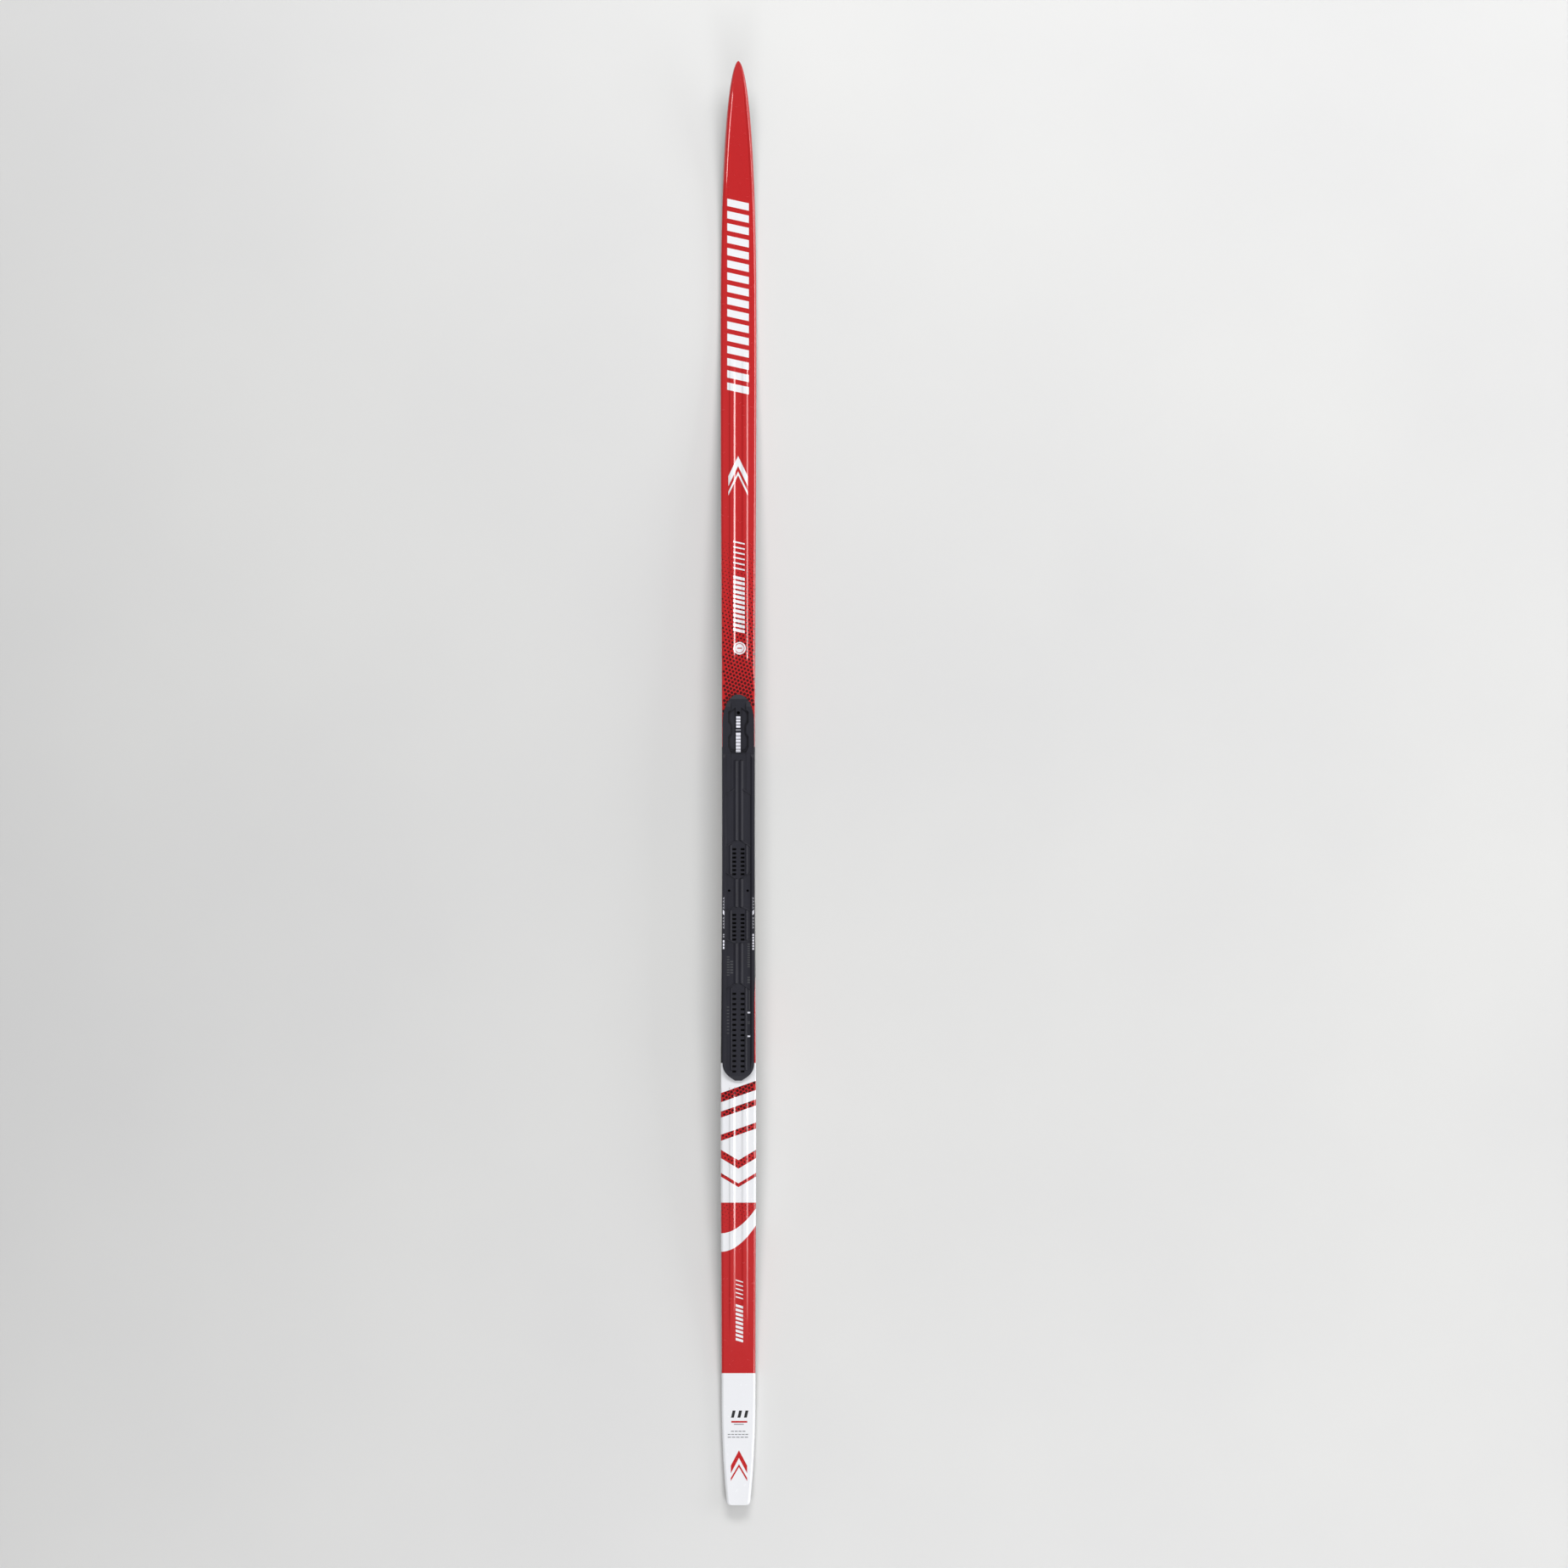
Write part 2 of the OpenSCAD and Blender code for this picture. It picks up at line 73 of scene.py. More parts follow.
# ---- Places along the ski, from the frame ----

SKI_LOW, SKI_HIGH = millimetres(cad_bounds)
PLATE_LOW, PLATE_HIGH = millimetres(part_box("binding_plate"))

TIP_Y = SKI_HIGH.y
TAIL_Y = SKI_LOW.y
SHOVEL_Y = TIP_Y - 380
WAIST_Y = -80
HEEL_Y = -450
REAR_Y = TAIL_Y + 145
FRONT_CONTACT_Y = TIP_Y - 295
REAR_CONTACT_Y = TAIL_Y + 95
PLATE_FRONT = PLATE_HIGH.y
PLATE_REAR = PLATE_LOW.y
PLATE_HALF = PLATE_HIGH.x
FLAT_MARGIN = 6

# Widths and heights, as in the CAD model
SHOVEL_W, WAIST_W, HEEL_W, REAR_W, TAIL_W = 47.4, 42.8, 46.6, 44.8, 30
TAIL_CORNER_R = 4
CAMBER_H, TIP_RISE, TAIL_RISE = 22, 52, 7
MID_T, SHOVEL_T, TIP_T, HEEL_T, TAIL_T = 22, 8.4, 5, 9.4, 7
TOPSHEET_T = 0.6
CAP_FOOT_Z = 2.3
END_WALL = (0.05, 0.9)  # from the ski's end to the outside and the inside of its end wall
END_LAP = 0.05
RIDGE_H = 1.3
RIDGE_PLACES = ((3.7, 0.17), (6.3, 0.29), (10.5, 0.48), (12.5, 0.57))  # x, or this share of the half width
RIDGE_FRONT, RIDGE_REAR, RIDGE_GAP_FRONT = TIP_Y - 353, TAIL_Y + 200, PLATE_FRONT + 25
RIDGE_START_LEN, RIDGE_FADE_LEN, RIDGE_END_LEN = 34, 70, 14
RIM_H = 0.7
RIM_REAR, RIM_FRONT, RIM_FADE_LEN = TIP_Y - 190, TIP_Y - 12, 50
NOSE_LEN, REAR_NOSE_LEN, REAR_NOSE_HALF = 38, 23, 4.2
NOSE_H, DECK_H, RIM_TOP_H = 4, 5, 7
RIM_FOOT_HALF, RIM_TOP_HALF = 15.4, 18.2

# Colour zones of the topsheet
BLACK_FRONT = 48
BLACK_REAR = PLATE_REAR + 23
GRAPHIC_REAR = -606
TAIL_ZONE_Y = TAIL_Y + 171


# ---- Curves along the ski ----


def mix(a, b, t):
    return a + (b - a) * t


def ramp(start, end, y):
    """0 at start, 1 at end, and a smooth S between them."""
    t = min(1.0, max(0.0, (y - start) / (end - start)))
    return t * t * (3 - 2 * t)


def tail_corner_cut(y):
    d = y - TAIL_Y
    r = TAIL_CORNER_R
    return 2 * (r - math.sqrt(max(0.0, r * r - (r - d) ** 2))) if d < r else 0.0


def outline_w(y):
    """Width of the ski."""
    if y > SHOVEL_Y:
        t = min(1.0, (y - SHOVEL_Y) / (TIP_Y - SHOVEL_Y))
        return max(1.6, SHOVEL_W * (1 - t ** 2.6) ** 0.51)
    if y > WAIST_Y:
        return mix(WAIST_W, SHOVEL_W, ramp(WAIST_Y, SHOVEL_Y, y))
    if y > HEEL_Y:
        return mix(HEEL_W, WAIST_W, ramp(HEEL_Y, WAIST_Y, y))
    if y > REAR_Y:
        return mix(REAR_W, HEEL_W, ramp(REAR_Y, HEEL_Y, y))
    t = min(1.0, (REAR_Y - y) / (REAR_Y - TAIL_Y))
    return mix(REAR_W, TAIL_W, t ** 2.2) - tail_corner_cut(y)


def base_z(y):
    """Height of the running face over the floor."""
    if y > FRONT_CONTACT_Y:
        return TIP_RISE * ((y - FRONT_CONTACT_Y) / (TIP_Y - FRONT_CONTACT_Y)) ** 2.2
    if y > 0:
        return CAMBER_H * (1 - ramp(PLATE_FRONT + FLAT_MARGIN, FRONT_CONTACT_Y, y))
    if y > REAR_CONTACT_Y:
        return CAMBER_H * ramp(REAR_CONTACT_Y, PLATE_REAR - FLAT_MARGIN, y)
    return TAIL_RISE * ((REAR_CONTACT_Y - y) / (REAR_CONTACT_Y - TAIL_Y)) ** 2


def thickness(y):
    if y > FRONT_CONTACT_Y:
        return mix(SHOVEL_T, TIP_T, ramp(FRONT_CONTACT_Y, TIP_Y, y))
    if y > 0:
        return mix(MID_T, SHOVEL_T, ramp(PLATE_FRONT + FLAT_MARGIN, FRONT_CONTACT_Y, y))
    if y > REAR_CONTACT_Y:
        return mix(HEEL_T, MID_T, ramp(REAR_CONTACT_Y, PLATE_REAR - FLAT_MARGIN, y))
    return mix(TAIL_T, HEEL_T, ramp(TAIL_Y, REAR_CONTACT_Y, y))


def under_plate(y):
    """1 under the binding plate, 0 clear of it."""
    return ramp(PLATE_REAR - 40, PLATE_REAR, y) * (1 - ramp(PLATE_FRONT, PLATE_FRONT + 40, y))


def plate_half(y):
    """Half width of the binding plate, or 0 clear of it."""
    from_nose = PLATE_FRONT - y
    from_rear = y - PLATE_REAR
    if from_nose < 0 or from_rear < 0:
        return 0
    if from_nose < NOSE_LEN:
        return PLATE_HALF * math.sqrt(1 - (1 - from_nose / NOSE_LEN) ** 2.1)
    if from_rear < REAR_NOSE_LEN:
        return mix(PLATE_HALF, REAR_NOSE_HALF, (1 - from_rear / REAR_NOSE_LEN) ** 2.5)
    return PLATE_HALF


def plate_top(x):
    """Height of the plate's deck, rim slope or rim over its underside."""
    share = (abs(x) - RIM_FOOT_HALF) / (RIM_TOP_HALF - RIM_FOOT_HALF)
    return mix(DECK_H, RIM_TOP_H, min(1.0, max(0.0, share)))


def ridge_share(y):
    """How far the two long ridges have risen."""
    if y > 0:
        risen = ramp(RIDGE_GAP_FRONT, RIDGE_GAP_FRONT + RIDGE_START_LEN, y)
        return risen * (1 - ramp(RIDGE_FRONT - RIDGE_FADE_LEN, RIDGE_FRONT, y))
    end = PLATE_REAR - FLAT_MARGIN
    return ramp(RIDGE_REAR, RIDGE_REAR + RIDGE_FADE_LEN, y) * (1 - ramp(end - RIDGE_END_LEN, end, y))


def rim_share(y):
    """How far the rim round the shovel has risen."""
    risen = ramp(RIM_REAR, RIM_REAR + RIM_FADE_LEN, y)
    return risen * (1 - ramp(RIM_FRONT - RIM_FADE_LEN, RIM_FRONT, y))


# ---- The cap's surface ----

ROUND_STEPS = 3


def rounded(corners):
    """A polyline of (x, z, radius) corners with its inner corners rounded."""
    line = [corners[0][:2]]
    for before, here, after in zip(corners, corners[1:], corners[2:]):
        a = Vector(before[:2])
        b = Vector(here[:2])
        c = Vector(after[:2])
        reach = min(here[2], 0.45 * (a - b).length, 0.45 * (c - b).length)
        start = b + (a - b).normalized() * reach
        end = b + (c - b).normalized() * reach
        for i in range(ROUND_STEPS + 1):
            t = i / ROUND_STEPS
            point = start * (1 - t) ** 2 + b * 2 * t * (1 - t) + end * t ** 2
            line.append((point.x, point.y))
    line.append(corners[-1][:2])
    return line


def cap_line(y, inset=0.0):
    """The cap's cross-section from its left foot to its right foot, moved inwards by inset."""
    h = outline_w(y) / 2
    d = min(inset, 0.6 * h)
    k = (h - d) / h
    top = base_z(y) + thickness(y) - d
    bevel = min(mix(2.8, 1.1, under_plate(y)), 0.2 * h)
    drop = min(mix(1.8, 0.9, under_plate(y)), 0.3 * thickness(y))
    rim = top + RIM_H * rim_share(y)
    ridge = top + RIDGE_H * ridge_share(y)
    inner_foot, inner_crest, outer_crest, outer_foot = (k * min(x, share * h) for x, share in RIDGE_PLACES)
    corners = [
        (0, top, 0),
        (inner_foot, top, 0.5),
        (inner_crest, ridge, 0.4),
        (outer_crest, ridge, 0.4),
        (outer_foot, top, 0.4),
        (k * (h - min(5.6, 0.4 * h)), top, 0.5),
        (k * (h - min(4.5, 0.32 * h)), rim, 0.5),
        (k * (h - bevel), rim, 1.2),
        (k * (h - min(0.5, 0.05 * h)), top - drop + 0.4 * d, 1.0),
        (k * h, base_z(y) + CAP_FOOT_Z, 0),
    ]
    right = rounded(corners)
    left = [(-x, z) for x, z in reversed(right[1:])]
    return left + right


def ring_places():
    """Where the ski's cross-sections stand, closer together towards both ends."""
    front_len, front_count = 190, 36
    rear_len, rear_count = 60, 20
    pitch = 7
    least_gap = 0.02
    front = TIP_Y - front_len
    rear = TAIL_Y + rear_len
    places = {TIP_Y, TAIL_Y, BLACK_FRONT, BLACK_REAR, TAIL_ZONE_Y}
    places.update(TIP_Y - front_len * (i / front_count) ** 2 for i in range(1, front_count + 1))
    places.update(TAIL_Y + rear_len * (i / rear_count) ** 2 for i in range(1, rear_count + 1))
    count = round((front - rear) / pitch)
    places.update(mix(rear, front, i / count) for i in range(1, count))
    kept = []
    for y in sorted(places):
        if not kept or y - kept[-1] > least_gap:
            kept.append(y)
    return kept


RING_Y = ring_places()
CAP = np.array([cap_line(y) for y in RING_Y])
CAP_COLUMNS = CAP.shape[1]


def cap_normals():
    """Outward normals at the cap's grid of points."""
    ys = np.repeat(np.array(RING_Y)[:, None], CAP_COLUMNS, 1)
    points = np.dstack([CAP[:, :, 0], ys, CAP[:, :, 1]])
    across = np.gradient(points, axis=1)
    along = np.gradient(points, axis=0)
    normals = np.cross(across, along)
    return normals / np.linalg.norm(normals, axis=2, keepdims=True)


CAP_NORMAL = cap_normals()


def ring_before(y):
    """The ring at or before y, and how far y is from it towards the next."""
    k = int(np.clip(np.searchsorted(RING_Y, y, side="right") - 1, 0, len(RING_Y) - 2))
    return k, (y - RING_Y[k]) / (RING_Y[k + 1] - RING_Y[k])


def column_of(x, y):
    """The cap's column at a place seen from above, running on past the edges at 1 a millimetre."""
    k, f = ring_before(y)
    xs = CAP[k, :, 0] * (1 - f) + CAP[k + 1, :, 0] * f
    if x < xs[0]:
        return x - xs[0]
    if x > xs[-1]:
        return CAP_COLUMNS - 1 + x - xs[-1]
    return float(np.interp(x, xs, np.arange(CAP_COLUMNS)))


def on_cap(column, y, lift):
    """The point over the cap's surface at a column, lifted along the normal."""
    k, f = ring_before(y)
    i = int(np.clip(math.floor(column), 0, CAP_COLUMNS - 2))
    g = column - i

    def blend(grid):
        near = grid[k, i] * (1 - g) + grid[k, i + 1] * g
        far = grid[k + 1, i] * (1 - g) + grid[k + 1, i + 1] * g
        return near * (1 - f) + far * f

    x, z = blend(CAP)
    normal = blend(CAP_NORMAL)
    return Vector((x, y, z)) + Vector(normal).normalized() * lift


# ---- Meshes ----

SHARP = math.radians(38)  # edges bent further than this stay sharp


def weigh_normals(piece):
    """Keeps broad faces flat-looking where narrow rounded ones meet them."""
    modifier = piece.modifiers.new("weighted_normals", "WEIGHTED_NORMAL")
    modifier.mode = "FACE_AREA"
    modifier.keep_sharp = True


def finish_mesh(bm, name, material):
    """Makes a bmesh in millimetres into a piece in metres that rides on the ski."""
    bmesh.ops.recalc_face_normals(bm, faces=bm.faces)
    for face in bm.faces:
        face.smooth = True
    for edge in bm.edges:
        edge.smooth = len(edge.link_faces) == 2 and edge.calc_face_angle(0) < SHARP
    bmesh.ops.scale(bm, vec=(MM, MM, MM), verts=bm.verts)
    mesh = bpy.data.meshes.new(name)
    bm.to_mesh(mesh)
    bm.free()
    mesh.materials.append(material)
    piece = bpy.data.objects.new(name, mesh)
    bpy.context.scene.collection.objects.link(piece)
    weigh_normals(piece)
    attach(piece, "root")
    return piece


def ladder_loft(sections):
    """A closed solid through sections of (x, y, z) points, each a chain and then its opposite chain back."""
    bm = bmesh.new()
    rings = [[bm.verts.new(p) for p in section] for section in sections]
    n = len(rings[0])
    for a, b in zip(rings, rings[1:]):
        for i in range(n):
            j = (i + 1) % n
            bm.faces.new((a[i], a[j], b[j], b[i]))
    for ring in (rings[0], rings[-1]):
        for i in range(n // 2 - 1):
            bm.faces.new((ring[i], ring[i + 1], ring[n - 2 - i], ring[n - 1 - i]))
    return bm


def topsheet_part(name, rear, front, material):
    """The topsheet between two places along the ski, as a shell of the sheet's own thickness."""
    sections = []
    for y in RING_Y:
        if rear - 0.01 <= y <= front + 0.01:
            outer = [(x, y, z) for x, z in cap_line(y)]
            inner = [(x, y, z) for x, z in cap_line(y, TOPSHEET_T)]
            sections.append(outer + inner[::-1])
    add_to_topsheet(finish_mesh(ladder_loft(sections), name, material))


def topsheet_end(name, end, inwards, material):
    """The topsheet's end, turned down over the layers inside. inwards is 1 at the tail and -1 at the tip."""
    sections = []
    for depth in END_WALL:
        y = end + inwards * depth
        top = [(x, y, z) for x, z in cap_line(y, 0.8 * TOPSHEET_T)]
        foot = [(x, y, base_z(y) + CAP_FOOT_Z - END_LAP) for x, _, _ in top]
        sections.append(top + foot[::-1])
    add_to_topsheet(finish_mesh(ladder_loft(sections), name, material))


def add_to_topsheet(piece):
    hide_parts("topsheet")


# ---- Prints: thin layers of ink that follow the surface under them ----

INK_T = 0.045
INK_SUNK = 0.03


def cut_at(bm, faces, point, normal, clear=False):
    """Cuts the faces by a plane, and returns those that are left."""
    edges = {e for f in faces for e in f.edges}
    verts = {v for f in faces for v in f.verts}
    geometry = list(verts) + list(edges) + list(faces)
    cut = bmesh.ops.bisect_plane(
        bm, geom=geometry, dist=1e-5, plane_co=point, plane_no=normal, clear_outer=clear
    )
    return [g for g in cut["geom"] if isinstance(g, bmesh.types.BMFace) and g.is_valid]


def cut_along_grid(bm):
    """Cuts flat faces where the cap's rings and columns run, and cuts off what is past its edges."""
    ys = [v.co.y for v in bm.verts]
    for y in RING_Y:
        if min(ys) < y < max(ys):
            cut_at(bm, bm.faces[:], (0, y, 0), (0, 1, 0))
    strip_of = {f: ring_before(f.calc_center_median().y)[0] for f in bm.faces}
    seams = [e for e in bm.edges if len({strip_of[f] for f in e.link_faces}) > 1]
    bmesh.ops.split_edges(bm, edges=seams)
    strips = {}
    for face, k in strip_of.items():
        strips.setdefault(k, []).append(face)
    for k, faces in strips.items():
        run = RING_Y[k + 1] - RING_Y[k]
        for i in range(CAP_COLUMNS):
            rear_x = CAP[k, i, 0]
            front_x = CAP[k + 1, i, 0]
            xs = [v.co.x for f in faces for v in f.verts]
            if not xs or min(xs) >= max(rear_x, front_x) or max(xs) <= min(rear_x, front_x):
                continue
            across = (run, rear_x - front_x, 0) if i else (-run, front_x - rear_x, 0)
            last = i in (0, CAP_COLUMNS - 1)
            faces = cut_at(bm, faces, (rear_x, RING_Y[k], 0), across, clear=last)


def flat_shapes(outlines):
    """A bmesh of flat faces from outlines seen from above."""
    bm = bmesh.new()
    for outline in outlines:
        bm.faces.new([bm.verts.new((x, y, 0)) for x, y in outline])
    bmesh.ops.triangulate(bm, faces=bm.faces[:], ngon_method="EAR_CLIP")
    return bm


def add_underside(bm, lowered):
    """Closes a sheet of faces into a thin solid. lowered gives each vertex's place on its underside."""
    sheet = bm.faces[:]
    twins = {v: bm.verts.new(lowered(v)) for v in bm.verts[:]}
    border = [(e, e.link_loops[0]) for e in bm.edges if len(e.link_loops) == 1]
    for face in sheet:
        bm.faces.new([twins[v] for v in reversed(face.verts)])
    for edge, loop in border:
        a = loop.vert
        b = loop.link_loop_next.vert
        bm.faces.new((b, a, twins[a], twins[b]))


def print_on_cap(name, outlines, material, layer=1):
    """Ink on the topsheet: outlines seen from above, cut along the sheet's grid and laid on it."""
    bm = flat_shapes(outlines)
    cut_along_grid(bm)
    bmesh.ops.remove_doubles(bm, verts=bm.verts, dist=1e-4)
    places = {v: (column_of(v.co.x, v.co.y), v.co.y) for v in bm.verts}
    for v in bm.verts:
        v.co = on_cap(*places[v], INK_T * layer)
    add_underside(bm, lambda v: on_cap(*places[v], -INK_SUNK))
    finish_mesh(bm, name, material)


def print_on_plate(name, outlines, material, height=None):
    """Ink on the binding plate: on its deck and rims, or on a level face at a given height."""
    bm = flat_shapes(outlines)
    for x in (-RIM_TOP_HALF, -RIM_FOOT_HALF, RIM_FOOT_HALF, RIM_TOP_HALF):
        cut_at(bm, bm.faces[:], (x, 0, 0), (1, 0, 0))
    for v in bm.verts:
        v.co.z = PLATE_LOW.z + (plate_top(v.co.x) if height is None else height) + INK_T
    add_underside(bm, lambda v: v.co - Vector((0, 0, INK_T + INK_SUNK)))
    finish_mesh(bm, name, material)


# ---- Outlines, seen from above ----

EDGE = 30  # past the ski's edge, where prints are cut off
SLANT = 0.22  # the bars' lean towards the tip, to the left
FIELD_SLANT = 0.35  # the rear fields' lean towards the tip, to the right
POINT_SLANT = 0.6  # how steeply the pointed lines fall to the middle
SWEEP_HALF = 23  # from the middle to where the swept line starts to rise
CIRCLE_STEPS = 40
DOT_STEPS = 6


def bar(left, right, y, width, slant=SLANT):
    """A bar across the ski that leans forwards to the left. y is the middle of its right end."""
    rise = (right - left) * slant
    half = width / 2
    return [(left, y + rise - half), (right, y - half), (right, y + half), (left, y + rise + half)]


def bars(left, right, front, rear, count, share, slant=SLANT):
    """Bars evenly spaced from front to rear, each taking a share of its pitch."""
    rise = (right - left) * slant
    pitch = (front - rise - rear) / (count - 1 + share)
    width = pitch * share
    return [bar(left, right, rear + width / 2 + i * pitch, width, slant) for i in range(count)]


def chevron(x, tip, half, depth, width):
    """A chevron that points to the tip of the ski."""
    return [
        (x, tip), (x + half, tip - depth), (x + half, tip - depth - width),
        (x, tip - width), (x - half, tip - depth - width), (x - half, tip - depth),
    ]


def slash(left, right, front, rear, lean):
    """An upright bar whose front end leans to the right."""
    return [(left, rear), (right, rear), (right + lean, front), (left + lean, front)]


def dashes(left, right, front, rear, count, share):
    """Level bars, as wide as each other and evenly spaced."""
    return bars(left, right, front, rear, count, share, 0)


def level(y):
    return [(-EDGE, y), (EDGE, y)]


def slanted(y):
    """A line over the ski that falls to the left, at y in the middle."""
    return [(-EDGE, y - FIELD_SLANT * EDGE), (EDGE, y + FIELD_SLANT * EDGE)]


def pointed(y):
    """A line over the ski that points to the tail, at y in the middle."""
    return [(-EDGE, y + POINT_SLANT * EDGE), (0, y), (EDGE, y + POINT_SLANT * EDGE)]


def swept(left_y, right_y):
    """A line over the ski that curves up to the right."""
    steps = 40
    xs = [mix(-EDGE, EDGE, i / steps) for i in range(steps + 1)]
    shares = [max(0, (x + SWEEP_HALF) / (2 * SWEEP_HALF)) for x in xs]
    return [(x, mix(left_y, right_y, share ** 2)) for x, share in zip(xs, shares)]


def between(front_line, rear_line):
    return front_line + rear_line[::-1]


def round_the_plate(inset=0.8):
    """A line that runs in from the left, round the plate's rear nose, and out to the right."""
    steps = 12
    ys = [BLACK_REAR - (BLACK_REAR - PLATE_REAR) * i / steps for i in range(steps + 1)]
    right = [(plate_half(y) - inset, y) for y in ys]
    left = [(-x, y) for x, y in right]
    return [(-EDGE, BLACK_REAR)] + left + right[::-1] + [(EDGE, BLACK_REAR)]


def disc(x, y, r, steps=CIRCLE_STEPS):
    return [
        (x + r * math.cos(2 * math.pi * i / steps), y + r * math.sin(2 * math.pi * i / steps))
        for i in range(steps)
    ]


def ring(x, y, r, width):
    """A ring as a run of quads."""
    outer = disc(x, y, r + width / 2)
    inner = disc(x, y, r - width / 2)
    return [
        [outer[i], outer[(i + 1) % CIRCLE_STEPS], inner[(i + 1) % CIRCLE_STEPS], inner[i]]
        for i in range(CIRCLE_STEPS)
    ]


def stroke(points, width):
    """A broken line as a run of quads."""
    quads = []
    for a, b in zip(points, points[1:]):
        a = Vector(a)
        b = Vector(b)
        side = (b - a).orthogonal().normalized() * width / 2
        quads.append([tuple(a - side), tuple(b - side), tuple(b + side), tuple(a + side)])
    return quads


DOT_PITCH = 4.7
DOT_AXES = (math.radians(-21), math.radians(47))
DOT_LEAST_R = 0.2
DOT_MARGIN = 0.5


def dots(rear, front, radius_at):
    """Small dots on a slanted lattice, as large as radius_at says at each place."""
    across, up = (Vector((math.cos(a), math.sin(a))) * DOT_PITCH for a in DOT_AXES)
    found = []
    reach = int((front - rear) / DOT_PITCH) + 20
    for i in range(-reach, reach):
        for j in range(-reach, reach):
            place = across * i + up * j + Vector((0, (front + rear) / 2))
            r = radius_at(place.y)
            if not rear < place.y < front or r < DOT_LEAST_R:
                continue
            inner = plate_half(place.y) - r
            outer = outline_w(place.y) / 2 - DOT_MARGIN - r
            if inner < abs(place.x) < outer:
                found.append(disc(place.x, place.y, r, DOT_STEPS))
    return found


# ---- Materials ----


class Surface:
    """A material's node tree, built by short calls."""

    def __init__(self, name, **settings):
        self.material = bpy.data.materials.new(name)
        self.material.use_nodes = True
        self.tree = self.material.node_tree
        self.shader = self.tree.nodes["Principled BSDF"]
        for socket, value in settings.items():
            self.shader.inputs[socket.replace("_", " ")].default_value = value
        self.object_space = self.add("ShaderNodeTexCoord").outputs["Object"]

    def add(self, kind, links=(), **values):
        """A node with the given input values, and with its inputs linked as links says."""
        node = self.tree.nodes.new(kind)
        for name, value in values.items():
            node.inputs[name.replace("_", " ")].default_value = value
        for name, source in dict(links).items():
            self.tree.links.new(source, node.inputs[name])
        return node

    def stretched(self, x=1.0, y=1.0, z=1.0):
        """Object coordinates with each axis scaled."""
        mapping = self.add("ShaderNodeMapping", {"Vector": self.object_space}, Scale=(x, y, z))
        return mapping.outputs["Vector"]

    def noise(self, scale, detail=3.0, roughness=0.5, vector=None):
        links = {"Vector": vector or self.object_space}
        node = self.add("ShaderNodeTexNoise", links, Scale=scale, Detail=detail, Roughness=roughness)
        return node.outputs["Fac"]

    def remap(self, value, low, high, to_low, to_high):
        node = self.add("ShaderNodeMapRange", {"Value": value})
        for name, number in (("From Min", low), ("From Max", high), ("To Min", to_low), ("To Max", to_high)):
            node.inputs[name].default_value = number
        return node.outputs["Result"]

    def maths(self, operation, a, b):
        node = self.add("ShaderNodeMath")
        node.operation = operation
        for socket, value in zip(node.inputs, (a, b)):
            if isinstance(value, bpy.types.NodeSocket):
                self.tree.links.new(value, socket)
            else:
                socket.default_value = value
        return node.outputs["Value"]

    def shades(self, value, *stops):
        """A colour from a value, by stops of (place, colour)."""
        node = self.add("ShaderNodeValToRGB", {"Fac": value})
        elements = node.color_ramp.elements
        while len(elements) < len(stops):
            elements.new(0.5)
        for element, (place, colour) in zip(elements, stops):
            element.position = place
            element.color = (*colour, 1)
        return node.outputs["Color"]

    def over(self, under, colour, share):
        """A colour laid over a plain one by a share from 0 to 1."""
        node = self.add("ShaderNodeMix")
        node.data_type = "RGBA"
        factor, plain, top = node.inputs[0], node.inputs[6], node.inputs[7]
        plain.default_value = (*under, 1)
        self.tree.links.new(share, factor)
        self.tree.links.new(colour, top)
        return node.outputs[2]

    def drive(self, socket, value):
        self.tree.links.new(value, self.shader.inputs[socket])

    def bump(self, height, distance, strength=1.0, under=None):
        links = {"Height": height}
        if under is not None:
            links["Normal"] = under
        node = self.add("ShaderNodeBump", links, Strength=strength, Distance=distance)
        return node.outputs["Normal"]


def linear(*srgb):
    """A colour from sRGB numbers, 0 to 255."""
    return tuple(((v / 255 + 0.055) / 1.055) ** 2.4 if v > 10 else v / 255 / 12.92 for v in srgb)


def tinted(colour, by):
    return tuple(min(1.0, c * by) for c in colour)


def lacquer(name, colour, variation=0.018, roughness=0.26, coat=1.0):
    """Ink under a clear gloss: faint clouding, orange peel, and hairline scratches along the ski."""
    s = Surface(name, Coat_Weight=coat, Coat_Roughness=0.1)
    cloud = s.noise(30, 2, 0.5, s.stretched(1, 0.25, 1))
    dark = tinted(colour, 1 - variation)
    pale = tinted(colour, 1 + variation)
    s.drive("Base Color", s.shades(cloud, (0.3, dark), (0.7, pale)))
    scratch = s.noise(1, 2, 0.6, s.stretched(2600, 26, 900))
    marks = s.remap(scratch, 0.7, 0.78, 0, 1)
    soft = s.remap(s.noise(160, 2), 0.3, 0.7, roughness - 0.015, roughness + 0.015)
    s.drive("Roughness", s.maths("ADD", soft, s.maths("MULTIPLY", marks, 0.04)))
    peel = s.bump(s.noise(450, 2), 0.000006, 0.4)
    s.drive("Normal", s.bump(marks, -0.000002, 0.2, peel))
    return s.material


